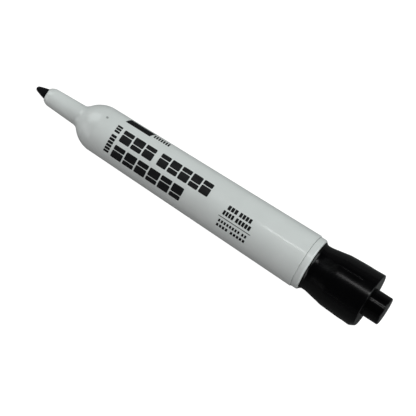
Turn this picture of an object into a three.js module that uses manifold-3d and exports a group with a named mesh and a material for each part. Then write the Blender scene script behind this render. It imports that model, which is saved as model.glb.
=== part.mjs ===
// A whiteboard marker lying along X, with its chisel nib at -X and its cap pushed onto its tail, at +X.
// Millimetres, +Z up. The origin is on the marker's axis, halfway between the nib's tip and the cap's end.
import * as THREE from "three";
import { mergeVertices } from "three/addons/utils/BufferGeometryUtils.js";
import Module from "manifold-3d";

// ---- Driving dimensions ----
// A station is a distance from the nib's tip along the axis. A cap depth is a distance from the cap's mouth.
// A slope is the surface's angle to the axis, in degrees.

const LENGTH = 127.75;
const BARREL_SIDES = 32;
const CAP_SIDES = 36;
const FRONT_TURN = 11.9; // degrees from straight up towards -Y that the marker's front faces
const FIT_GAP = 0.05; // between faces that touch

const NIB_RADIUS = 1.725;
const NIB_LENGTH = 36;
const NIB_REACH = 3.65; // how far the nib stands out of the nose
const NIB_EDGE_RADIUS = 0.9;
const NIB_WEDGE_SLOPE = 20;
const NIB_EDGE_SLANT = 15; // degrees that the chisel edge leans back
const NIB_END_CHAMFER = 0.5;

const NOSE_BORE = 1.8;
const NOSE_FACE_RADIUS = 2.1;
const NOSE_FRONT_ARC = 3.5;
const NOSE_FRONT_SLOPE = 42;
const NOSE_SLOPE = 2.5;
const NOSE_ROOT = 15.3; // station where the nose meets the fillet
const ROOT_FILLET = 2.5;
const SHOULDER_SLOPE = 50;
const SHOULDER_ARC = 9.2;
const SHOULDER_END_SLOPE = 6.6;

const BARREL_END = 98.9;
const BARREL_END_RADIUS = 9;
const BARREL_WALL = 1.3; // at the seam
const BORE_SLOPE = 1.018;
const SEAM_CHAMFER = 0.2; // on both sides of the seam between the barrel and the tail plug
const CHAMBER_START = 23.2;
const CHAMBER_THROAT = 18.2;
const THROAT_RADIUS = 2.6;
const NOSE_BORE_END = 17.2;

const RESERVOIR_START = 24.2;
const RESERVOIR_END = 98.1;
const RESERVOIR_RADIUS = 5.7;
const SOCKET_RADIUS = 1.78; // of the blind hole that takes the nib
const SOCKET_ROOM = 0.5; // between the nib's inner end and the hole's bottom
const WRAP_THICKNESS = 0.15;

const SPIGOT_START = 92.7;
const SPIGOT_RADIUS = 7.45;
const SPIGOT_LEAD = 0.6;
const SPIGOT_BORE = 6.25;
const FLANGE_RADIUS = 8.75;
const FLANGE_LENGTH = 2.4;
const FLANGE_EDGE = 0.65; // radius of the rounded edge next to the cap
const TAIL_RADIUS = 3.4;
const TAIL_LENGTH = 11.75;
const TAIL_CHAMFER = 0.4;
const TAIL_CORE = 1.9;
const PLUG_WALL = 1.2;

const CAP_LENGTH = 20.6;
const CAP_LIP_RADIUS = 8.25;
const CAP_LIP_SLOPE = -50;
const CAP_LIP_FILLET = 1.5;
const CAP_FLARE_FILLET = 9;
const CAP_FLARE_SLOPE = 10.5;
const CAP_FLARE_END = 7.1;
const CAP_CROWN_ARC = 12.3;
const CAP_SIDE_SLOPE = 3;
const CAP_END_EDGE = 0.3;
const CAP_WALL = 1.1;
const CAP_MOUTH_BORE = 6.6;
const CAP_MOUTH_LEAD = 0.4;
const CAP_END_HOLE = 4.71;

const RIB_COUNT = 6;
const RIB_HEIGHT = 0.1;
const RIB_START = CAP_FLARE_END; // cap depths
const RIB_END = 16.6;
const RIB_RUN_OUT = 2.4; // length over which a rib rises at each end

const SLEEVE_START = 5;
const SLEEVE_RADIUS = 4.3;
const SLEEVE_BORE = 3.5;
const COLLAR_RADIUS = 5.6;
const COLLAR_LENGTH = 0.75;
const STUB_RADIUS = 4.65;
const STUB_EDGE = 0.3;
const STUB_WALL = 1.15;

// ---- Stations worked out from these ----

const FLANGE_START = BARREL_END + FIT_GAP;
const FLANGE_END = FLANGE_START + FLANGE_LENGTH;
const CAP_MOUTH = FLANGE_END + 2 * FIT_GAP;
const STUB_END = LENGTH - CAP_MOUTH; // a cap depth

// ---- Materials ----

function plastic(color, roughness) {
  return new THREE.MeshStandardMaterial({ color, roughness, metalness: 0 });
}

const whitePlastic = plastic(0xe4e7e6, 0.3);
const blackPlastic = plastic(0x0b0b0c, 0.22);
const inkedFelt = plastic(0x141416, 0.95);
const fibre = plastic(0x26262a, 0.9);
const film = plastic(0xd8dadb, 0.35);

// ---- Outlines and solids ----
// An outline is a list of [distance along the axis, radius] points.

const radians = THREE.MathUtils.degToRad;

/** Adds an arc to an outline, from its last point, as the slope turns from slope0 to slope1. */
function bend(outline, arcRadius, slope0, slope1, steps) {
  const [x0, r0] = outline.at(-1);
  const bulge = Math.sign(slope0 - slope1) * arcRadius;
  const centreX = x0 + bulge * Math.sin(radians(slope0));
  const centreR = r0 - bulge * Math.cos(radians(slope0));
  for (let i = 1; i <= steps; i++) {
    const slope = radians(slope0 + ((slope1 - slope0) * i) / steps);
    outline.push([centreX - bulge * Math.sin(slope), centreR + bulge * Math.cos(slope)]);
  }
}

/** Adds a straight line to an outline, from its last point to x, at a slope. */
function run(outline, x, slope) {
  const [x0, r0] = outline.at(-1);
  outline.push([x, r0 + (x - x0) * Math.tan(radians(slope))]);
}

/** Revolves a closed outline about the axis. Its radii are those of the flats between the corners. */
function revolve(outline, sides, firstCorner = 0) {
  const cornerFactor = 1 / Math.cos(Math.PI / sides);
  const points = outline.map(([x, r]) => new THREE.Vector2(r * cornerFactor, x));
  return new THREE.LatheGeometry(points, sides, firstCorner);
}

/** Revolves an outline of the barrel or what is inside it, with flats facing straight up and down. */
function revolveBarrel(outline) {
  return revolve(outline, BARREL_SIDES, Math.PI / BARREL_SIDES);
}

const wasm = await Module();
wasm.setup();

function toSolid(geometry) {
  const bare = geometry.clone();
  bare.deleteAttribute("normal");
  bare.deleteAttribute("uv");
  const merged = mergeVertices(bare, 1e-4);
  const triVerts = merged.index
    ? merged.index.array
    : Uint32Array.from({ length: merged.attributes.position.count }, (_, i) => i);
  const vertProperties = merged.attributes.position.array;
  const mesh = new wasm.Mesh({ numProp: 3, vertProperties, triVerts: new Uint32Array(triVerts) });
  return new wasm.Manifold(mesh);
}

function toGeometry(solid) {
  const { vertProperties, triVerts } = solid.getMesh();
  const geometry = new THREE.BufferGeometry();
  geometry.setAttribute("position", new THREE.BufferAttribute(vertProperties, 3));
  geometry.setIndex(new THREE.BufferAttribute(triVerts, 1));
  geometry.computeVertexNormals();
  return geometry;
}

// ---- The pieces, each along its own +Y from the station or depth 0 ----

/** A round felt rod with a chisel edge, which runs along local Z and leans back from +Z to -Z. */
function makeNib() {
  const rod = revolve(
    [
      [0, 0],
      [0, NIB_RADIUS],
      [NIB_LENGTH - NIB_END_CHAMFER, NIB_RADIUS],
      [NIB_LENGTH, NIB_RADIUS - NIB_END_CHAMFER],
      [NIB_LENGTH, 0],
    ],
    BARREL_SIDES,
  );
  const wedgeRun = NIB_RADIUS / Math.tan(radians(NIB_WEDGE_SLOPE));
  const wide = NIB_RADIUS * 2;
  const outline = new THREE.Shape();
  const from = radians(NIB_WEDGE_SLOPE);
  outline.absarc(0, NIB_EDGE_RADIUS, NIB_EDGE_RADIUS, Math.PI + from, 2 * Math.PI - from, false);
  outline.lineTo(wide, NIB_EDGE_RADIUS + 2 * wedgeRun);
  outline.lineTo(wide, NIB_LENGTH * 1.1);
  outline.lineTo(-wide, NIB_LENGTH * 1.1);
  outline.lineTo(-wide, NIB_EDGE_RADIUS + 2 * wedgeRun);
  outline.closePath();
  const extrusion = { depth: 2 * wide, bevelEnabled: false, curveSegments: 8 };
  const wedge = new THREE.ExtrudeGeometry(outline, extrusion);
  const lean = Math.tan(radians(NIB_EDGE_SLANT));
  const shear = new THREE.Matrix4().set(
    1, 0, 0, 0,
    0, 1, -lean, lean * NIB_RADIUS,
    0, 0, 1, 0,
    0, 0, 0, 1,
  );
  wedge.translate(0, 0, -wide);
  wedge.applyMatrix4(shear);
  return toGeometry(toSolid(rod).intersect(toSolid(wedge)));
}

/** One shell: the nose, the shoulder and the tapered barrel, open at the tail. */
function makeBarrel() {
  const outline = [
    [NIB_REACH, NOSE_BORE],
    [NIB_REACH, NOSE_FACE_RADIUS],
  ];
  bend(outline, NOSE_FRONT_ARC, NOSE_FRONT_SLOPE, NOSE_SLOPE, 5);
  run(outline, NOSE_ROOT, NOSE_SLOPE);
  bend(outline, ROOT_FILLET, NOSE_SLOPE, SHOULDER_SLOPE, 4);
  bend(outline, SHOULDER_ARC, SHOULDER_SLOPE, SHOULDER_END_SLOPE, 7);
  outline.push([BARREL_END - SEAM_CHAMFER, BARREL_END_RADIUS]);
  outline.push([BARREL_END, BARREL_END_RADIUS - SEAM_CHAMFER]);
  const endBore = BARREL_END_RADIUS - BARREL_WALL;
  outline.push([BARREL_END, endBore]);
  run(outline, CHAMBER_START, BORE_SLOPE);
  outline.push([CHAMBER_THROAT, THROAT_RADIUS]);
  outline.push([NOSE_BORE_END, NOSE_BORE]);
  outline.push([NIB_REACH, NOSE_BORE]);
  return revolveBarrel(outline);
}

/** The fibre bundle that holds the ink, with a blind hole for the nib. */
function makeReservoirCore() {
  const socketEnd = NIB_LENGTH + SOCKET_ROOM;
  return revolveBarrel([
    [socketEnd, 0],
    [socketEnd, SOCKET_RADIUS],
    [RESERVOIR_START, SOCKET_RADIUS],
    [RESERVOIR_START, RESERVOIR_RADIUS],
    [RESERVOIR_END, RESERVOIR_RADIUS],
    [RESERVOIR_END, 0],
  ]);
}

/** The film sleeve round the fibre bundle. */
function makeReservoirWrap() {
  const inside = RESERVOIR_RADIUS + FIT_GAP;
  const outside = inside + WRAP_THICKNESS;
  return revolveBarrel([
    [RESERVOIR_START, inside],
    [RESERVOIR_START, outside],
    [RESERVOIR_END, outside],
    [RESERVOIR_END, inside],
    [RESERVOIR_START, inside],
  ]);
}

/** The plug that closes the barrel: a hollow spigot, a flange and the tail that the cap is pushed onto. */
function makeTailPlug() {
  const tailEnd = FLANGE_END + TAIL_LENGTH;
  const wallStart = FLANGE_START + PLUG_WALL;
  const outline = [
    [SPIGOT_START, SPIGOT_BORE],
    [SPIGOT_START, SPIGOT_RADIUS - SPIGOT_LEAD / 2],
    [SPIGOT_START + SPIGOT_LEAD, SPIGOT_RADIUS],
    [FLANGE_START, SPIGOT_RADIUS],
    [FLANGE_START, FLANGE_RADIUS - SEAM_CHAMFER],
    [FLANGE_START + SEAM_CHAMFER, FLANGE_RADIUS],
    [FLANGE_END - FLANGE_EDGE, FLANGE_RADIUS],
  ];
  bend(outline, FLANGE_EDGE, 0, -90, 4);
  outline.push(
    [FLANGE_END, TAIL_RADIUS],
    [tailEnd - TAIL_CHAMFER, TAIL_RADIUS],
    [tailEnd, TAIL_RADIUS - TAIL_CHAMFER],
    [tailEnd, 0],
    [tailEnd - PLUG_WALL, 0],
    [tailEnd - PLUG_WALL, TAIL_CORE],
    [wallStart, TAIL_CORE],
    [wallStart, SPIGOT_BORE],
    [SPIGOT_START, SPIGOT_BORE],
  );
  return revolveBarrel(outline);
}

/** How far a rib stands out at a cap depth. */
function ribHeight(depth) {
  const rise = Math.min(depth - RIB_START, RIB_END - depth) / RIB_RUN_OUT;
  return RIB_HEIGHT * THREE.MathUtils.clamp(rise, 0, 1);
}

/** The cap's outer shell, which flares from its mouth. It has fine lengthways ribs and a holed end wall. */
function makeCapShell() {
  const outline = [[0, CAP_LIP_RADIUS]];
  bend(outline, CAP_LIP_FILLET, CAP_LIP_SLOPE, 0, 4);
  bend(outline, CAP_FLARE_FILLET, 0, CAP_FLARE_SLOPE, 2);
  run(outline, CAP_FLARE_END, CAP_FLARE_SLOPE);
  bend(outline, CAP_CROWN_ARC, CAP_FLARE_SLOPE, CAP_SIDE_SLOPE, 3);
  for (const depth of [RIB_END - RIB_RUN_OUT, RIB_END, CAP_LENGTH - CAP_END_EDGE]) {
    run(outline, depth, CAP_SIDE_SLOPE);
  }
  const endRadius = outline.at(-1)[1];
  const innerEnd = CAP_LENGTH - CAP_WALL;
  outline.push(
    [CAP_LENGTH, endRadius - CAP_END_EDGE],
    [CAP_LENGTH, CAP_END_HOLE],
    [innerEnd, CAP_END_HOLE],
    [innerEnd, endRadius - CAP_WALL],
    [CAP_FLARE_END, endRadius - CAP_WALL - (innerEnd - CAP_FLARE_END) * Math.tan(radians(CAP_SIDE_SLOPE))],
    [CAP_MOUTH_LEAD, CAP_MOUTH_BORE],
    [0, CAP_MOUTH_BORE + CAP_MOUTH_LEAD],
    [0, CAP_LIP_RADIUS],
  );
  const shell = revolve(outline, CAP_SIDES);
  const at = shell.attributes.position;
  const cornersPerRib = CAP_SIDES / RIB_COUNT;
  for (let i = 0; i < at.count; i++) {
    const corner = Math.floor(i / outline.length);
    const point = i % outline.length;
    const outside = point <= outline.findIndex(([x]) => x === CAP_LENGTH);
    if (outside && corner % cornersPerRib === cornersPerRib / 2) {
      const raised = 1 + ribHeight(outline[point][0]) / outline[point][1];
      at.setXYZ(i, at.getX(i) * raised, at.getY(i), at.getZ(i) * raised);
    }
  }
  return shell;
}

/** The inner cap: a sealing sleeve whose closed end stands out of the shell as a stub. */
function makeInnerCap() {
  const collarEnd = CAP_LENGTH - CAP_WALL - FIT_GAP;
  const outline = [
    [SLEEVE_START, SLEEVE_BORE],
    [SLEEVE_START, SLEEVE_RADIUS],
    [collarEnd - COLLAR_LENGTH, SLEEVE_RADIUS],
    [collarEnd - COLLAR_LENGTH, COLLAR_RADIUS],
    [collarEnd, COLLAR_RADIUS],
    [collarEnd, STUB_RADIUS],
    [STUB_END - STUB_EDGE, STUB_RADIUS],
  ];
  bend(outline, STUB_EDGE, 0, -90, 3);
  outline.push(
    [STUB_END, 0],
    [STUB_END - STUB_WALL, 0],
    [STUB_END - STUB_WALL, SLEEVE_BORE],
    [SLEEVE_START, SLEEVE_BORE],
  );
  return revolve(outline, CAP_SIDES);
}

// ---- The assembly ----

/** Adds a named piece to a group, turned about its axis by a number of degrees. */
function place(group, name, geometry, material, turn = 0) {
  const mesh = new THREE.Mesh(geometry, material);
  mesh.name = name;
  mesh.rotation.y = radians(turn);
  group.add(mesh);
}

const marker = new THREE.Group();
marker.rotation.z = -Math.PI / 2;
marker.position.x = -LENGTH / 2;
place(marker, "nib", makeNib(), inkedFelt, FRONT_TURN);
place(marker, "barrel", makeBarrel(), whitePlastic);
place(marker, "reservoir_core", makeReservoirCore(), fibre);
place(marker, "reservoir_wrap", makeReservoirWrap(), film);
place(marker, "tail_plug", makeTailPlug(), whitePlastic.clone());

const cap = new THREE.Group();
cap.position.y = CAP_MOUTH;
place(cap, "cap_shell", makeCapShell(), blackPlastic, FRONT_TURN);
place(cap, "inner_cap", makeInnerCap(), blackPlastic.clone(), FRONT_TURN);
marker.add(cap);

const part = new THREE.Group();
part.add(marker);

export default part;
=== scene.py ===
"""The looks of a whiteboard marker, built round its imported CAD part.

The row frame has +X from the nib to the cap and +Z up, in metres.
Lengths here are millimetres, except where a comment says metres.
A station is a distance from the nib's tip along the axis.
A cap depth is a distance from the cap's mouth.
A slope is a surface's angle to the axis, in degrees.
A turn is an angle round the axis, in degrees, from the side facing the camera towards the shadow side.
"""

import math

import bmesh
import bpy
from mathutils import Matrix, Vector


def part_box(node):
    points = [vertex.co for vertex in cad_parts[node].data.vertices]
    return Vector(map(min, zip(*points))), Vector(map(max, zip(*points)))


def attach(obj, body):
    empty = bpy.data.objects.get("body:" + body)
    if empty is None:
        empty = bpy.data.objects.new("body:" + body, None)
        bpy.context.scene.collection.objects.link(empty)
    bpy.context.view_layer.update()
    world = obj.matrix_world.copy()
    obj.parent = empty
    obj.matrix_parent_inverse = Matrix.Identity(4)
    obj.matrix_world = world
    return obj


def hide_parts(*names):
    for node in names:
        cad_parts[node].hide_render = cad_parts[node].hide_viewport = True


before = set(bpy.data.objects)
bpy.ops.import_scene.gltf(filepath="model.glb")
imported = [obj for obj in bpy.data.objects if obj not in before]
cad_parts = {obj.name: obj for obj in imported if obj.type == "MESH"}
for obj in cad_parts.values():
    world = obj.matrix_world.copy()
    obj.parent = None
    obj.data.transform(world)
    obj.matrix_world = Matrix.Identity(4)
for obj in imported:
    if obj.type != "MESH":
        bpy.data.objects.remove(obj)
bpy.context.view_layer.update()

# ---- Places and sizes taken from the CAD part ----

MM = 0.001
FRONT_TURN = 11.9  # degrees from straight up to the side that faces the camera

TIP_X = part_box("nib")[0].x  # metres
LENGTH = (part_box("inner_cap")[1].x - TIP_X) / MM
NIB_END = (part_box("nib")[1].x - TIP_X) / MM
NOSE_END = (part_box("barrel")[0].x - TIP_X) / MM
BARREL_END = (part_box("barrel")[1].x - TIP_X) / MM
BARREL_END_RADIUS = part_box("barrel")[1].z / MM
RESERVOIR_START = (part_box("reservoir_core")[0].x - TIP_X) / MM
RESERVOIR_END = (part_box("reservoir_core")[1].x - TIP_X) / MM
RESERVOIR_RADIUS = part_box("reservoir_core")[1].z / MM
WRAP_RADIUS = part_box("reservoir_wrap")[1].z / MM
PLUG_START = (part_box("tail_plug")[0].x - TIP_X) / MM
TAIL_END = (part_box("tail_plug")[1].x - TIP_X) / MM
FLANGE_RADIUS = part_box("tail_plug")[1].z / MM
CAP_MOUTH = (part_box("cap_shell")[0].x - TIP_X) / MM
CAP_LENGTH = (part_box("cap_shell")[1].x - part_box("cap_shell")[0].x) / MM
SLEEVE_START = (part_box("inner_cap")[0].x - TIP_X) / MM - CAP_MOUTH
STUB_END = LENGTH - CAP_MOUTH

# ---- Driving dimensions of the fine surfaces ----

NIB_RADIUS = 1.725
NIB_EDGE_RADIUS = 0.9
NIB_WEDGE_SLOPE = 20
NIB_EDGE_SLANT = 15  # degrees that the chisel edge leans back from the front
NIB_END_CHAMFER = 0.5
NIB_SIDES = 64
NIB_EDGE_RINGS = 8  # round the chisel edge
NIB_WEDGE_RINGS = 11  # along the flat sides behind it
NIB_STEP = 0.4  # between those

NOSE_BORE = 1.8
NOSE_FACE_RADIUS = 2.1
NOSE_FRONT_ARC = 3.5
NOSE_FRONT_SLOPE = 42
NOSE_SLOPE = 2.5
NOSE_ROOT = 15.3
ROOT_FILLET = 2.5
SHOULDER_SLOPE = 50
SHOULDER_ARC = 9.2
SHOULDER_FILLET = 5.1  # between the shoulder and the long taper
SHOULDER_FILLET_SLOPE = 8
BARREL_SLOPE = 1.1
BORE_SLOPE = 1.018
BARREL_WALL = 1.3  # at the seam
SEAM_CHAMFER = 0.15
CHAMBER_START = 23.2
CHAMBER_THROAT = 18.2
THROAT_RADIUS = 2.6
NOSE_BORE_END = 17.2

SOCKET_RADIUS = 1.78  # of the blind hole that takes the nib
SOCKET_ROOM = 0.5  # between the nib's inner end and the hole's bottom
FIT_GAP = 0.05  # between faces that touch

SPIGOT_RADIUS = 7.45
SPIGOT_LEAD = 0.6
SPIGOT_BORE = 6.25
FLANGE_LENGTH = 2.4
FLANGE_EDGE = 0.65
TAIL_RADIUS = 3.4
TAIL_CHAMFER = 0.4
TAIL_CORE = 1.9
PLUG_WALL = 1.2

CAP_LIP_RADIUS = 8.25
CAP_LIP_SLOPE = -50
CAP_LIP_FILLET = 1.5
CAP_FLARE_FILLET = 9
CAP_FLARE_SLOPE = 10.5
CAP_FLARE_END = 7.1
CAP_CROWN_ARC = 12.3
CAP_SIDE_SLOPE = 3
CAP_END_EDGE = 0.25
CAP_WALL = 1.1
CAP_MOUTH_BORE = 6.6
CAP_MOUTH_LEAD = 0.4
CAP_END_HOLE = 4.71

RIB_TURNS = (-150, -90, -30, 30, 90, 150)
RIB_HEIGHT = 0.1
RIB_HALF_WIDTH = 1.1  # degrees
RIB_START = CAP_FLARE_END  # cap depths
RIB_END = 16.6
RIB_RUN_OUT = 2.0  # length over which a rib rises at each end
RIB_RISE_POWER = 0.7  # below 1, a rib rises steeply at first
BEVEL_TURN = 90  # the side on which the corner of the cap's end is bevelled
BEVEL_SPREAD = 45  # degrees over which it fades out, either way
BEVEL_LENGTH = 1.8
BEVEL_DEPTH = 1.0
BEVEL_CURVE_POWER = 1.3  # above 1, the bevel starts flat

COLLAR_RADIUS = 5.6
COLLAR_LENGTH = 0.75
SLEEVE_RADIUS = 4.3
SLEEVE_BORE = 3.5
STUB_RADIUS = 4.65
STUB_EDGE = 0.3
STUB_WALL = 1.15
STUB_SEAM_TURN = -12.5
STUB_SEAM_HALF_WIDTH = 2.2  # degrees
STUB_SEAM_DEPTH = 0.05

ROUND_SIDES = 144
INSIDE_SIDES = 64
DETAIL_STEPS = 4  # on each side of a narrow detail's middle
DETAIL_MARGIN = 1.3  # even turns nearer than this many half widths give way to a detail's own

# ---- Outlines: lists of (distance along the axis, radius) ----


def bend(outline, arc_radius, slope0, slope1, steps):
    """Adds an arc to an outline, from its last point, as the slope turns from slope0 to slope1."""
    x0, r0 = outline[-1]
    bulge = math.copysign(arc_radius, slope0 - slope1)
    centre_x = x0 + bulge * math.sin(math.radians(slope0))
    centre_r = r0 - bulge * math.cos(math.radians(slope0))
    for i in range(1, steps + 1):
        slope = math.radians(slope0 + (slope1 - slope0) * i / steps)
        outline.append((centre_x - bulge * math.sin(slope), centre_r + bulge * math.cos(slope)))


def run(outline, x, slope, steps=1):
    """Adds a straight line to an outline, from its last point to x, at a slope."""
    x0, r0 = outline[-1]
    for i in range(1, steps + 1):
        at = x0 + (x - x0) * i / steps
        outline.append((at, r0 + (at - x0) * math.tan(math.radians(slope))))


def radius_at(outline, x):
    """The radius of an outline's outside at x, where the outside comes first."""
    for (x0, r0), (x1, r1) in zip(outline, outline[1:]):
        if x0 <= x <= x1 and x1 > x0:
            return r0 + (r1 - r0) * (x - x0) / (x1 - x0)
    raise ValueError(f"the outline doesn't reach {x}")


# ---- Meshes ----


def place(x, radius, turn):
    """A point of the row frame, in metres, from a station, a radius and a turn."""
    angle = math.radians(turn + FRONT_TURN)
    return (TIP_X + x * MM, -radius * MM * math.sin(angle), radius * MM * math.cos(angle))


def face_outwards(mesh):
    """Turns the faces of each closed part of a mesh to point out of it."""
    shape = bmesh.new()
    shape.from_mesh(mesh)
    bmesh.ops.recalc_face_normals(shape, faces=shape.faces)
    shape.to_mesh(mesh)
    shape.free()


def smooth_mesh(name, vertices, faces, sharp_angle=32):
    """An object whose faces are smooth across edges flatter than sharp_angle."""
    mesh = bpy.data.meshes.new(name)
    mesh.from_pydata(vertices, [], faces)
    mesh.validate()
    face_outwards(mesh)
    mesh.polygons.foreach_set("use_smooth", [True] * len(mesh.polygons))
    mesh.set_sharp_from_angle(angle=math.radians(sharp_angle))
    obj = bpy.data.objects.new(name, mesh)
    bpy.context.scene.collection.objects.link(obj)
    return obj


def even_turns(sides):
    return [i * 360 / sides for i in range(sides)]


def turn_between(turn, other):
    """How far apart two turns are, the shorter way round."""
    return abs((turn - other + 180) % 360 - 180)


def turns_with(sides, centres, half_width):
    """Even turns, with closer ones across narrow details of that half width at the centres."""
    turns = []
    for turn in even_turns(sides):
        if all(turn_between(turn, c) > DETAIL_MARGIN * half_width for c in centres):
            turns.append(turn)
    for centre in centres:
        for k in range(-DETAIL_STEPS, DETAIL_STEPS + 1):
            turns.append((centre + half_width * k / DETAIL_STEPS) % 360)
    return sorted(turns)


def bump_across(turn, centre, half_width):
    """A smooth bump, from 0 at half_width either side of the centre to 1 at the centre."""
    off = turn_between(turn, centre) / half_width
    return math.cos(math.pi / 2 * off) ** 2 if off < 1 else 0.0


def end_strips(first, sides):
    """Closes a ring of vertices, from the one numbered first, with strips across from side to side."""
    faces = []
    for i in range(sides // 2):
        opposite = (sides - i) % sides
        corners = [first + i, first + i + 1, first + sides - i - 1, first + opposite]
        faces.append([c for k, c in enumerate(corners) if c != corners[k - 1]])
    return faces


def lathe(name, outline, turns, start=0.0, shaped=None):
    """A closed solid of revolution. shaped, if given, changes a radius by its place and turn."""
    loop = outline[0] == outline[-1]
    points = outline[:-1] if loop else outline
    vertices, rings = [], []
    for x, r in points:
        if r == 0:
            rings.append([len(vertices)] * len(turns))
            vertices.append(place(start + x, 0, 0))
            continue
        rings.append(list(range(len(vertices), len(vertices) + len(turns))))
        for turn in turns:
            vertices.append(place(start + x, shaped(x, r, turn) if shaped else r, turn))
    pairs = list(zip(rings, rings[1:]))
    if loop:
        pairs.append((rings[-1], rings[0]))
    faces = []
    for a, b in pairs:
        for i in range(len(turns)):
            j = (i + 1) % len(turns)
            corners = [a[i], b[i], b[j], a[j]]
            faces.append([c for k, c in enumerate(corners) if c != corners[k - 1]])
    return smooth_mesh(name, vertices, faces)


# ---- The pieces inside and outside the barrel ----


def make_nib():
    """A round felt rod with a rounded chisel edge that leans back from the front."""
    edge_end = NIB_EDGE_RADIUS * (1 - math.sin(math.radians(NIB_WEDGE_SLOPE)))
    levels = [edge_end * (k / NIB_EDGE_RINGS) ** 2 for k in range(1, NIB_EDGE_RINGS + 1)]
    levels += [edge_end + NIB_STEP * k for k in range(1, NIB_WEDGE_RINGS + 1)]
    lean = math.tan(math.radians(NIB_EDGE_SLANT))
    rod_start = levels[-1] + 2 * lean * NIB_RADIUS + NIB_STEP
    vertices, faces = [], []

    def half_thickness(s):
        if s < edge_end:
            return math.sqrt(NIB_EDGE_RADIUS**2 - (NIB_EDGE_RADIUS - s) ** 2)
        widest = NIB_EDGE_RADIUS * math.cos(math.radians(NIB_WEDGE_SLOPE))
        return widest + (s - edge_end) * math.tan(math.radians(NIB_WEDGE_SLOPE))

    def add_ring(s, leaning, radius, thickness):
        for i in range(NIB_SIDES):
            angle = 2 * math.pi * i / NIB_SIDES
            up = radius * math.cos(angle)
            side = max(-thickness, min(thickness, radius * math.sin(angle)))
            x = s + leaning * (NIB_RADIUS - up)
            vertices.append(place(x, math.hypot(up, side), math.degrees(math.atan2(side, up))))

    for s in levels:
        add_ring(s, lean, NIB_RADIUS, half_thickness(s))
    add_ring(rod_start, 0, NIB_RADIUS, NIB_RADIUS)
    add_ring(NIB_END - NIB_END_CHAMFER, 0, NIB_RADIUS, NIB_RADIUS)
    add_ring(NIB_END, 0, NIB_RADIUS - NIB_END_CHAMFER, NIB_RADIUS)
    rings = len(vertices) // NIB_SIDES
    for ring in range(rings - 1):
        for i in range(NIB_SIDES):
            j = (i + 1) % NIB_SIDES
            a, b = ring * NIB_SIDES, (ring + 1) * NIB_SIDES
            faces.append([a + i, b + i, b + j, a + j])
    for first in (0, (rings - 1) * NIB_SIDES):
        faces += end_strips(first, NIB_SIDES)
    return smooth_mesh("nib_felt", vertices, faces, sharp_angle=50)


def barrel_outline():
    """The barrel's outside from the nose to the seam, and then its bore back to the nose."""
    outline = [(NOSE_END, NOSE_BORE), (NOSE_END, NOSE_FACE_RADIUS)]
    bend(outline, NOSE_FRONT_ARC, NOSE_FRONT_SLOPE, NOSE_SLOPE, 10)
    run(outline, NOSE_ROOT, NOSE_SLOPE)
    bend(outline, ROOT_FILLET, NOSE_SLOPE, SHOULDER_SLOPE, 12)
    bend(outline, SHOULDER_ARC, SHOULDER_SLOPE, SHOULDER_FILLET_SLOPE, 12)
    bend(outline, SHOULDER_FILLET, SHOULDER_FILLET_SLOPE, BARREL_SLOPE, 5)
    outline.append((BARREL_END - SEAM_CHAMFER, BARREL_END_RADIUS))
    outline.append((BARREL_END, BARREL_END_RADIUS - SEAM_CHAMFER))
    outline.append((BARREL_END, BARREL_END_RADIUS - BARREL_WALL))
    run(outline, CHAMBER_START, BORE_SLOPE)
    outline.append((CHAMBER_THROAT, THROAT_RADIUS))
    outline.append((NOSE_BORE_END, NOSE_BORE))
    outline.append(outline[0])
    return outline


BARREL = barrel_outline()


def make_barrel():
    """One shell: the nose, the shoulder and the tapered barrel, open at the tail."""
    return lathe("barrel_skin", BARREL, even_turns(ROUND_SIDES))


def make_reservoir_core():
    """The fibre bundle that holds the ink, with a blind hole for the nib."""
    socket_end = NIB_END + SOCKET_ROOM
    outline = [
        (socket_end, 0),
        (socket_end, SOCKET_RADIUS),
        (RESERVOIR_START, SOCKET_RADIUS),
        (RESERVOIR_START, RESERVOIR_RADIUS),
        (RESERVOIR_END, RESERVOIR_RADIUS),
        (RESERVOIR_END, 0),
    ]
    return lathe("core_fibre", outline, even_turns(INSIDE_SIDES))


def make_reservoir_wrap():
    """The film sleeve round the fibre bundle."""
    outline = [
        (RESERVOIR_START, RESERVOIR_RADIUS + FIT_GAP),
        (RESERVOIR_START, WRAP_RADIUS),
        (RESERVOIR_END, WRAP_RADIUS),
        (RESERVOIR_END, RESERVOIR_RADIUS + FIT_GAP),
        (RESERVOIR_START, RESERVOIR_RADIUS + FIT_GAP),
    ]
    return lathe("wrap_film", outline, even_turns(INSIDE_SIDES))


def make_tail_plug():
    """The plug that closes the barrel: a hollow spigot, a flange and the tail that takes the cap."""
    flange_start = BARREL_END + FIT_GAP
    flange_end = flange_start + FLANGE_LENGTH
    wall_start = flange_start + PLUG_WALL
    outline = [
        (PLUG_START, SPIGOT_BORE),
        (PLUG_START, SPIGOT_RADIUS - SPIGOT_LEAD / 2),
        (PLUG_START + SPIGOT_LEAD, SPIGOT_RADIUS),
        (flange_start, SPIGOT_RADIUS),
        (flange_start, FLANGE_RADIUS - SEAM_CHAMFER),
        (flange_start + SEAM_CHAMFER, FLANGE_RADIUS),
        (flange_end - FLANGE_EDGE, FLANGE_RADIUS),
    ]
    bend(outline, FLANGE_EDGE, 0, -90, 8)
    outline.append((flange_end, TAIL_RADIUS))
    run(outline, TAIL_END - TAIL_CHAMFER, 0)
    bend(outline, TAIL_CHAMFER, 0, -90, 6)
    outline += [
        (TAIL_END, 0),
        (TAIL_END - PLUG_WALL, 0),
        (TAIL_END - PLUG_WALL, TAIL_CORE),
        (wall_start, TAIL_CORE),
        (wall_start, SPIGOT_BORE),
        (PLUG_START, SPIGOT_BORE),
    ]
    return lathe("plug_moulding", outline, even_turns(ROUND_SIDES))


# ---- The cap ----


def rib_height(depth):
    """How far a rib stands out at a cap depth."""
    rise = min(depth - RIB_START, RIB_END - depth) / RIB_RUN_OUT
    return RIB_HEIGHT * max(0.0, min(1.0, rise)) ** RIB_RISE_POWER


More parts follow.
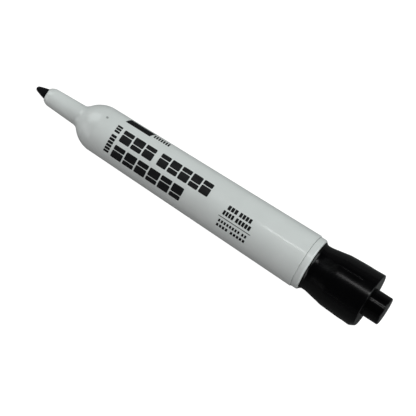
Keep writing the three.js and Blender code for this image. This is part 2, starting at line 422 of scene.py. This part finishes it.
def bevel_depth(depth, turn):
    """How much is cut from the cap's end corner, which is bevelled on one side."""
    share = bump_across(turn, BEVEL_TURN, BEVEL_SPREAD)
    cut = max(0.0, depth - (CAP_LENGTH - BEVEL_LENGTH)) / BEVEL_LENGTH
    return BEVEL_DEPTH * share * cut**BEVEL_CURVE_POWER


def make_cap_shell():
    """The cap's outer shell, which flares from its mouth, with fine ribs and a holed end wall."""
    outline = [(0, CAP_LIP_RADIUS)]
    bend(outline, CAP_LIP_FILLET, CAP_LIP_SLOPE, 0, 8)
    bend(outline, CAP_FLARE_FILLET, 0, CAP_FLARE_SLOPE, 5)
    run(outline, CAP_FLARE_END, CAP_FLARE_SLOPE, 3)
    bend(outline, CAP_CROWN_ARC, CAP_FLARE_SLOPE, CAP_SIDE_SLOPE, 4)
    run(outline, RIB_END - RIB_RUN_OUT, CAP_SIDE_SLOPE, 3)
    run(outline, RIB_END, CAP_SIDE_SLOPE, 4)
    run(outline, CAP_LENGTH - BEVEL_LENGTH, CAP_SIDE_SLOPE, 2)
    run(outline, CAP_LENGTH - CAP_END_EDGE, CAP_SIDE_SLOPE, 5)
    inner_end = CAP_LENGTH - CAP_WALL
    inner_radius = outline[-1][1] - CAP_WALL
    bend(outline, CAP_END_EDGE, 0, -90, 4)
    outer_points = set(outline[1:])
    outline += [(CAP_LENGTH, CAP_END_HOLE), (inner_end, CAP_END_HOLE), (inner_end, inner_radius)]
    run(outline, CAP_FLARE_END, CAP_SIDE_SLOPE)
    outline += [(CAP_MOUTH_LEAD, CAP_MOUTH_BORE), (0, CAP_MOUTH_BORE + CAP_MOUTH_LEAD), outline[0]]

    def shaped(x, r, turn):
        if (x, r) not in outer_points:
            return r
        rib = sum(bump_across(turn, centre, RIB_HALF_WIDTH) for centre in RIB_TURNS)
        return r + rib * rib_height(x) - bevel_depth(x, turn)

    turns = turns_with(ROUND_SIDES, RIB_TURNS, RIB_HALF_WIDTH)
    return lathe("cap_moulding", outline, turns, CAP_MOUTH, shaped)


def make_inner_cap():
    """The inner cap: a sealing sleeve whose closed end stands out of the shell as a stub."""
    collar_end = CAP_LENGTH - CAP_WALL - FIT_GAP
    outline = [
        (SLEEVE_START, SLEEVE_BORE),
        (SLEEVE_START, SLEEVE_RADIUS),
        (collar_end - COLLAR_LENGTH, SLEEVE_RADIUS),
        (collar_end - COLLAR_LENGTH, COLLAR_RADIUS),
        (collar_end, COLLAR_RADIUS),
        (collar_end, STUB_RADIUS),
        (STUB_END - STUB_EDGE, STUB_RADIUS),
    ]
    bend(outline, STUB_EDGE, 0, -90, 6)
    outline += [
        (STUB_END, 0),
        (STUB_END - STUB_WALL, 0),
        (STUB_END - STUB_WALL, SLEEVE_BORE),
        (SLEEVE_START, SLEEVE_BORE),
    ]

    def shaped(x, r, turn):
        if x <= collar_end or r < STUB_RADIUS - STUB_EDGE:
            return r
        return r - STUB_SEAM_DEPTH * bump_across(turn, STUB_SEAM_TURN, STUB_SEAM_HALF_WIDTH)

    turns = turns_with(ROUND_SIDES, (STUB_SEAM_TURN,), STUB_SEAM_HALF_WIDTH)
    return lathe("inner_cap_moulding", outline, turns, CAP_MOUTH, shaped)


# ---- The print: plain blocks and bars where the marker carries print ----
# A block is (first station, last station, first turn, last turn).
# A word is (first station, last station, first turn, last turn, number of blocks).

INK_HEIGHT = 0.014
INK_SINK = 0.02
INK_CORNER_STEPS = 4
INK_TURN_STEP = 2.5  # degrees, about, between the rows of a block
MOST_CORNER = 0.4  # of a block's height or width, so that some straight edge is left

TITLE_WORDS = (
    (31.3, 43.1, -29.5, 1.5, 3),
    (44.9, 63.7, -31.0, 0.5, 5),
    (31.2, 56.6, 11.5, 44.5, 6),
)
TITLE_GAP = 0.5
TITLE_SLIT = 1.8  # degrees
TITLE_SLIT_PLACES = (0.38, 0.62)  # shares of a block's height, used alternately
TITLE_CORNER = 0.35

BANNER_BLOCK = (29.5, 38.2, -51.5, -75.0)
BANNER_SLANT = 1.0
BANNER_CORNER = 0.15
BANNER_WORD = (39.3, 44.8, -56.0, -71.0, 7)

COLUMN_START = 28.5
COLUMN_END = 30.3
COLUMN_WORDS = ((41.5, -7.0, 6), (-12.0, -33.0, 3))  # first turn, last turn, number of bars
COLUMN_BAR_SHARE = 0.78  # of the pitch

BOLD_NOTE_WORDS = (
    (71.0, 74.4, -11.5, -1.5, 3),
    (75.2, 79.5, -11.5, -1.5, 4),
    (70.4, 74.2, 2.5, 12.5, 4),
    (75.0, 80.3, 2.5, 12.5, 5),
)
FINE_NOTE_WORDS = (
    (70.3, 78.0, 24.0, 30.5, 8),
    (78.8, 80.5, 24.0, 30.5, 2),
    (70.3, 74.3, 35.0, 42.0, 4),
    (75.4, 80.6, 35.0, 42.0, 5),
)
NOTE_RULE = (69.6, 81.3, 17.4, 18.9)
BANNER_WORD_GAP = 0.3
BOLD_NOTE_GAP = 0.25
FINE_NOTE_GAP = 0.35
SMALL_CORNER = 0.12


def block_rows(x0, x1, turn0, turn1, corner, slant):
    """Rows (turn, left, right) of a block with rounded corners, shifted by slant from turn0 to turn1."""
    middle_radius = radius_at(BARREL, (x0 + x1) / 2)
    height = math.radians(abs(turn1 - turn0)) * middle_radius
    corner = min(corner, MOST_CORNER * height, MOST_CORNER * (x1 - x0))
    rounding = []
    for k in range(INK_CORNER_STEPS + 1):
        angle = math.radians(90 * k / INK_CORNER_STEPS)
        rounding.append((corner * (1 - math.cos(angle)) / height, corner * (1 - math.sin(angle))))
    steps = max(1, round(abs(turn1 - turn0) / INK_TURN_STEP))
    first = corner / height
    last = 1 - corner / height
    straight = [(first + (last - first) * i / steps, 0.0) for i in range(1, steps)]
    at = rounding + straight + [(1 - share, inset) for share, inset in reversed(rounding)]
    rows = []
    for share, inset in at:
        shift = slant * share
        rows.append((turn0 + (turn1 - turn0) * share, x0 + inset + shift, x1 - inset + shift))
    return rows


def ink(name, blocks, corner, slant=0.0):
    """One thin printed layer of blocks, each a closed solid that stands just proud of the barrel."""
    vertices, faces = [], []
    per_row = 4
    for x0, x1, turn0, turn1 in blocks:
        base = len(vertices)
        rows = block_rows(x0, x1, turn0, turn1, corner, slant)
        for turn, left, right in rows:
            for x in (left, right):
                outside = radius_at(BARREL, x)
                vertices.append(place(x, outside + INK_HEIGHT, turn))
                vertices.append(place(x, outside - INK_SINK, turn))
        for row in range(len(rows) - 1):
            a = base + per_row * row
            b = a + per_row
            faces += [
                [a, b, b + 2, a + 2],
                [a + 1, a + 3, b + 3, b + 1],
                [a, a + 1, b + 1, b],
                [a + 2, b + 2, b + 3, a + 3],
            ]
        end = base + per_row * (len(rows) - 1)
        faces += [[base, base + 2, base + 3, base + 1], [end, end + 1, end + 3, end + 2]]
    return smooth_mesh(name, vertices, faces)


def word_of_blocks(word, gap, slit=0.0, slit_places=(0.5,)):
    """A row of equal blocks in place of a word's letters, each split by a lengthways slit if given."""
    x0, x1, turn0, turn1, count = word
    pitch = (x1 - x0 + gap) / count
    blocks = []
    for i in range(count):
        left = x0 + i * pitch
        right = left + pitch - gap
        if not slit:
            blocks.append((left, right, turn0, turn1))
            continue
        split = turn0 + (turn1 - turn0) * slit_places[i % len(slit_places)]
        blocks.append((left, right, turn0, split - slit / 2))
        blocks.append((left, right, split + slit / 2, turn1))
    return blocks


def make_title_print():
    """Two lines of large blocks."""
    blocks = []
    for word in TITLE_WORDS:
        blocks += word_of_blocks(word, TITLE_GAP, TITLE_SLIT, TITLE_SLIT_PLACES)
    return ink("print_title", blocks, TITLE_CORNER)


def make_banner_print():
    """A slanted stripe on the upper side, next to the title."""
    return ink("print_banner", [BANNER_BLOCK], BANNER_CORNER, BANNER_SLANT)


def column_bars():
    """Bars stacked round the barrel, beside the title."""
    bars = []
    for turn0, turn1, count in COLUMN_WORDS:
        pitch = (turn1 - turn0) / count
        for i in range(count):
            start = turn0 + pitch * i
            bars.append((COLUMN_START, COLUMN_END, start, turn0 + pitch * (i + COLUMN_BAR_SHARE)))
    return bars


def make_small_print():
    """Small bars: a second banner word, a column beside the title and the notes near the tail."""
    blocks = word_of_blocks(BANNER_WORD, BANNER_WORD_GAP)
    blocks += column_bars()
    for word in BOLD_NOTE_WORDS:
        blocks += word_of_blocks(word, BOLD_NOTE_GAP)
    for word in FINE_NOTE_WORDS:
        blocks += word_of_blocks(word, FINE_NOTE_GAP)
    blocks.append(NOTE_RULE)
    return ink("print_notes", blocks, SMALL_CORNER)


# ---- Materials ----

NOISE_LOW = 0.3  # most of a noise texture's values lie between these
NOISE_HIGH = 0.7


def new_material(name, color, roughness, **sockets):
    """A Principled material. Other sockets are set by name, with _ for spaces."""
    material = bpy.data.materials.new(name)
    material.use_nodes = True
    shader = material.node_tree.nodes["Principled BSDF"]
    shader.inputs["Base Color"].default_value = (*color, 1)
    shader.inputs["Roughness"].default_value = roughness
    for socket, value in sockets.items():
        shader.inputs[socket.replace("_", " ")].default_value = value
    return material


def noise(material, scale, detail=2.0, stretch=(1, 1, 1)):
    """A noise texture in the object's own coordinates, in which one unit is a metre."""
    nodes, links = material.node_tree.nodes, material.node_tree.links
    where = nodes.new("ShaderNodeTexCoord")
    mapping = nodes.new("ShaderNodeMapping")
    mapping.inputs["Scale"].default_value = stretch
    texture = nodes.new("ShaderNodeTexNoise")
    texture.inputs["Scale"].default_value = scale
    texture.inputs["Detail"].default_value = detail
    links.new(where.outputs["Object"], mapping.inputs["Vector"])
    links.new(mapping.outputs["Vector"], texture.inputs["Vector"])
    return texture


def vary_color(material, texture, low, high):
    """The base colour runs from low to high with a texture."""
    nodes, links = material.node_tree.nodes, material.node_tree.links
    ramp = nodes.new("ShaderNodeValToRGB")
    ramp.color_ramp.elements[0].position = NOISE_LOW
    ramp.color_ramp.elements[1].position = NOISE_HIGH
    ramp.color_ramp.elements[0].color = (*low, 1)
    ramp.color_ramp.elements[1].color = (*high, 1)
    links.new(texture.outputs["Fac"], ramp.inputs["Fac"])
    links.new(ramp.outputs["Color"], nodes["Principled BSDF"].inputs["Base Color"])
    return ramp


def vary_roughness(material, texture, low, high):
    """The roughness runs from low to high with a texture."""
    nodes, links = material.node_tree.nodes, material.node_tree.links
    remap = nodes.new("ShaderNodeMapRange")
    remap.inputs["From Min"].default_value = NOISE_LOW
    remap.inputs["From Max"].default_value = NOISE_HIGH
    remap.inputs["To Min"].default_value = low
    remap.inputs["To Max"].default_value = high
    links.new(texture.outputs["Fac"], remap.inputs["Value"])
    links.new(remap.outputs["Result"], nodes["Principled BSDF"].inputs["Roughness"])


def add_bump(material, texture, depth, strength=1.0):
    """Fine relief from a texture. The depth is in metres."""
    nodes, links = material.node_tree.nodes, material.node_tree.links
    bump = nodes.new("ShaderNodeBump")
    bump.inputs["Strength"].default_value = strength
    bump.inputs["Distance"].default_value = depth
    links.new(texture.outputs["Fac"], bump.inputs["Height"])
    links.new(bump.outputs["Normal"], nodes["Principled BSDF"].inputs["Normal"])


def add_spot(material, ramp, centre, radius, color):
    """A small soft dark spot on top of the base colour. Its centre and radius are in metres."""
    nodes, links = material.node_tree.nodes, material.node_tree.links
    where = nodes.new("ShaderNodeTexCoord")
    distance = nodes.new("ShaderNodeVectorMath")
    distance.operation = "DISTANCE"
    distance.inputs[1].default_value = centre
    fade = nodes.new("ShaderNodeMapRange")
    fade.interpolation_type = "SMOOTHSTEP"
    fade.inputs["From Min"].default_value = radius * 0.3
    fade.inputs["From Max"].default_value = radius
    fade.inputs["To Min"].default_value = 1
    fade.inputs["To Max"].default_value = 0
    mix = nodes.new("ShaderNodeMix")
    mix.data_type = "RGBA"
    mix.inputs["B"].default_value = (*color, 1)
    links.new(where.outputs["Object"], distance.inputs[0])
    links.new(distance.outputs["Value"], fade.inputs["Value"])
    links.new(fade.outputs["Result"], mix.inputs["Factor"])
    links.new(ramp.outputs["Color"], mix.inputs["A"])
    links.new(mix.outputs["Result"], nodes["Principled BSDF"].inputs["Base Color"])


BARREL_WHITE = (0.78, 0.80, 0.79)
GATE_STATION = 24.3  # the moulding gate's mark on the shoulder
GATE_TURN = -32
GATE_RADIUS = 0.6


def white_plastic(name):
    """Glossy white moulded plastic, faintly mottled. Returns the material and its colour ramp."""
    coat = {"Coat_Weight": 0.4, "Coat_Roughness": 0.05, "Coat_IOR": 1.45}
    material = new_material(name, BARREL_WHITE, roughness=0.34, IOR=1.46, **coat)
    darker = [c * 0.975 for c in BARREL_WHITE]
    lighter = [c * 1.02 for c in BARREL_WHITE]
    ramp = vary_color(material, noise(material, scale=160, detail=4.0), darker, lighter)
    vary_roughness(material, noise(material, scale=420, detail=3.0), low=0.31, high=0.38)
    add_bump(material, noise(material, scale=2600), depth=0.000004, strength=0.5)
    return material, ramp


def barrel_plastic():
    """White plastic with the mark that the moulding gate left."""
    material, ramp = white_plastic("barrel_white")
    gate = place(GATE_STATION, radius_at(BARREL, GATE_STATION), GATE_TURN)
    add_spot(material, ramp, gate, GATE_RADIUS * MM, color=(0.33, 0.34, 0.335))
    return material


def plug_plastic():
    return white_plastic("plug_white")[0]


def black_plastic(name, roughness):
    """Glossy black moulded plastic."""
    material = new_material(name, (0.0012, 0.0012, 0.0015), roughness, IOR=1.32)
    mottle = noise(material, scale=500, detail=3.0)
    vary_roughness(material, mottle, low=roughness - 0.03, high=roughness + 0.04)
    add_bump(material, noise(material, scale=1800), depth=0.000001, strength=0.4)
    return material


def printed_ink():
    """Thin black ink, a little uneven."""
    material = new_material("print_black", (0.006, 0.006, 0.007), roughness=0.5, IOR=1.3)
    patches = noise(material, scale=900, detail=3.0)
    vary_color(material, patches, low=(0.005, 0.005, 0.006), high=(0.009, 0.009, 0.010))
    return material


def felt():
    """Pressed felt, soaked with black ink, with fibres along the nib."""
    material = new_material(
        "nib_felt", (0.005, 0.005, 0.006), roughness=0.95, IOR=1.2, Sheen_Weight=0.05
    )
    fibres = noise(material, scale=3000, detail=5.0, stretch=(0.25, 1, 1))
    vary_color(material, fibres, low=(0.003, 0.003, 0.004), high=(0.010, 0.010, 0.012))
    add_bump(material, fibres, depth=0.00005, strength=0.8)
    return material


def inked_fibre():
    """A bundle of polyester fibre, soaked with black ink."""
    material = new_material("inked_fibre", (0.03, 0.03, 0.034), roughness=0.9)
    fibres = noise(material, scale=4000, detail=4.0, stretch=(0.03, 1, 1))
    vary_color(material, fibres, low=(0.015, 0.015, 0.018), high=(0.05, 0.05, 0.055))
    add_bump(material, fibres, depth=0.00008, strength=0.7)
    return material


def film():
    """Thin glossy film round the ink reservoir."""
    material = new_material("wrap_film", (0.75, 0.77, 0.78), roughness=0.3)
    add_bump(material, noise(material, scale=300), depth=0.00003, strength=0.5)
    return material


# ---- The object, put together ----


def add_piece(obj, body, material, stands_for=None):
    """Gives a piece its material and its body, and hides the CAD node that it is shown in place of."""
    obj.data.materials.append(material)
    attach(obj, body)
    if stands_for:
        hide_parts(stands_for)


def build_object():
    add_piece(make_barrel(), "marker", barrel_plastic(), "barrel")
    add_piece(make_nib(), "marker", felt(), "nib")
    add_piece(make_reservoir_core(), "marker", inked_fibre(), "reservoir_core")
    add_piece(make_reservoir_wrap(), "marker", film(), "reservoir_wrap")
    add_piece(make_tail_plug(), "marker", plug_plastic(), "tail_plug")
    outer = black_plastic("cap_black", roughness=0.2)
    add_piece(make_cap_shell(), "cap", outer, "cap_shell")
    inner = black_plastic("inner_cap_black", roughness=0.17)
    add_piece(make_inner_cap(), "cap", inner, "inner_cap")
    ink_black = printed_ink()
    for make in (make_title_print, make_banner_print, make_small_print):
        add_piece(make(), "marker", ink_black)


# ---- The studio ----

FLOOR_RADIUS = 2.4  # metres, as are the next two
FLOOR_CURVE = 0.4
FLOOR_WALL = 1.3
FLOOR_CURVE_STEPS = 8
FLOOR_SIDES = 64
FLOOR_GREY = (0.12, 0.12, 0.12)
FLOOR_GLOW = 1.0
CONTACT_FRONT = 30.0  # station where the stretch that lies on the floor starts


def floor_height():
    """The height under the barrel as (height at x = 0, rise per metre of x), in metres."""
    rear = BARREL_END - SEAM_CHAMFER
    x0, _, z0 = place(CONTACT_FRONT, radius_at(BARREL, CONTACT_FRONT), 180 - FRONT_TURN)
    x1, _, z1 = place(rear, radius_at(BARREL, rear), 180 - FRONT_TURN)
    rise = (z1 - z0) / (x1 - x0)
    return z0 - x0 * rise, rise


def floor_profile():
    """Points (distance from the middle, height), in metres, of the floor's rim, its curve and its wall."""
    profile = [(FLOOR_RADIUS, 0.0)]
    for k in range(1, FLOOR_CURVE_STEPS + 1):
        angle = math.radians(90 * k / FLOOR_CURVE_STEPS)
        across = FLOOR_RADIUS + FLOOR_CURVE * math.sin(angle)
        profile.append((across, FLOOR_CURVE * (1 - math.cos(angle))))
    profile.append((FLOOR_RADIUS + FLOOR_CURVE, FLOOR_WALL))
    return profile


def make_floor():
    """A plain pale floor that curves up into a low wall all round.

    It tilts with the barrel's taper, so that the barrel lies on it.
    It glows for the picture's plain background, and that glow doesn't light the marker.
    """
    middle_height, rise = floor_height()
    profile = floor_profile()
    vertices = []
    for across, up in profile:
        for i in range(FLOOR_SIDES):
            angle = 2 * math.pi * i / FLOOR_SIDES
            x = across * math.cos(angle)
            vertices.append((x, across * math.sin(angle), middle_height + x * rise + up))
    faces = [list(range(FLOOR_SIDES))]
    for ring in range(len(profile) - 1):
        for i in range(FLOOR_SIDES):
            j = (i + 1) % FLOOR_SIDES
            a = ring * FLOOR_SIDES
            b = a + FLOOR_SIDES
            faces.append([a + i, a + j, b + j, b + i])
    floor = smooth_mesh("floor", vertices, faces)
    glow = {"Emission_Color": (1, 1, 1, 1), "Emission_Strength": FLOOR_GLOW}
    floor.data.materials.append(new_material("floor_white", FLOOR_GREY, roughness=0.9, **glow))
    lit_by_glow = bpy.data.collections.new("lit_by_floor_glow")
    lit_by_glow.objects.link(floor)
    floor.light_linking.receiver_collection = lit_by_glow


def softbox(name, turn, lean, distance, across, along, radiance, color, aim_x=0.0):
    """A rectangular light at a turn round the axis, leaning by degrees towards +X.

    Its distance, its sizes and the place aim_x that it points at are in metres.
    """
    light = bpy.data.lights.new(name, "AREA")
    light.shape = "RECTANGLE"
    light.size = along
    light.size_y = across
    light.energy = radiance * math.pi * across * along
    light.color = color
    angle = math.radians(turn + FRONT_TURN)
    lean = math.radians(lean)
    outwards = (-math.cos(lean) * math.sin(angle), math.cos(lean) * math.cos(angle))
    towards = Vector((math.sin(lean), *outwards))
    side = (Vector((1, 0, 0)) - towards * towards.x).normalized()
    turned = Matrix((side, towards.cross(side), towards)).transposed().to_4x4()
    obj = bpy.data.objects.new(name, light)
    obj.matrix_world = Matrix.Translation(Vector((aim_x, 0, 0)) + towards * distance) @ turned
    bpy.context.scene.collection.objects.link(obj)


WHITE_LIGHT = (1, 1, 1)
COOL_LIGHT = (0.945, 1.0, 0.985)
KEY_TURN = -43
FILL_TURN = 75
SIDE_LEAN = 50
SIDE_DISTANCE = 0.8  # metres, as is the next
SIDE_SIZE = 0.6


def side_light(name, turn, lean, radiance, color):
    """A large light that leans far towards one end, so that the black cap doesn't mirror it."""
    softbox(name, turn, lean, SIDE_DISTANCE, SIDE_SIZE, SIDE_SIZE, radiance, color)


def light_studio():
    """A narrow strip for the lengthways highlight, large lights on both sides and a faint world."""
    softbox(
        "strip_light", turn=-26, lean=0, distance=0.6, across=0.07, along=0.23,
        radiance=8.0, color=WHITE_LIGHT, aim_x=0.035,
    )
    side_light("key_nose_side", KEY_TURN, -SIDE_LEAN, 2.65, COOL_LIGHT)
    side_light("key_cap_side", KEY_TURN, SIDE_LEAN, 3.5, COOL_LIGHT)
    side_light("fill_nose_side", FILL_TURN, -SIDE_LEAN, 1.9, WHITE_LIGHT)
    side_light("fill_cap_side", FILL_TURN, SIDE_LEAN, 1.9, WHITE_LIGHT)
    world = bpy.data.worlds.new("studio")
    world.use_nodes = True
    background = world.node_tree.nodes["Background"]
    background.inputs["Color"].default_value = (0.97, 0.98, 1, 1)
    background.inputs["Strength"].default_value = 0.03
    bpy.context.scene.world = world


CAMERA_AZIMUTH = 33.6  # degrees, as is the next
CAMERA_ELEVATION = 75.8
CAMERA_DISTANCE = 1.6  # metres
VIEW_WIDTH = 0.1274  # metres, across the picture at the marker
AIM_RIGHT = -0.73  # where the camera aims, from the marker's middle
AIM_UP = -2.63


def place_camera():
    azimuth = math.radians(CAMERA_AZIMUTH)
    elevation = math.radians(CAMERA_ELEVATION)
    level = math.cos(elevation)
    back = Vector((math.sin(azimuth) * level, -math.cos(azimuth) * level, math.sin(elevation)))
    right = Vector((math.cos(azimuth), math.sin(azimuth), 0))
    aim = (right * AIM_RIGHT + back.cross(right) * AIM_UP) * MM
    camera = bpy.data.cameras.new("camera")
    camera.sensor_width = 36
    camera.lens = camera.sensor_width * CAMERA_DISTANCE / VIEW_WIDTH
    camera.clip_start = 0.05
    obj = bpy.data.objects.new("camera", camera)
    obj.location = aim + back * CAMERA_DISTANCE
    obj.rotation_mode = "QUATERNION"
    obj.rotation_quaternion = (-back).to_track_quat("-Z", "Y")
    bpy.context.scene.collection.objects.link(obj)
    bpy.context.scene.camera = obj


build_object()
make_floor()
light_studio()
place_camera()
bpy.context.scene.view_settings.view_transform = "Standard"
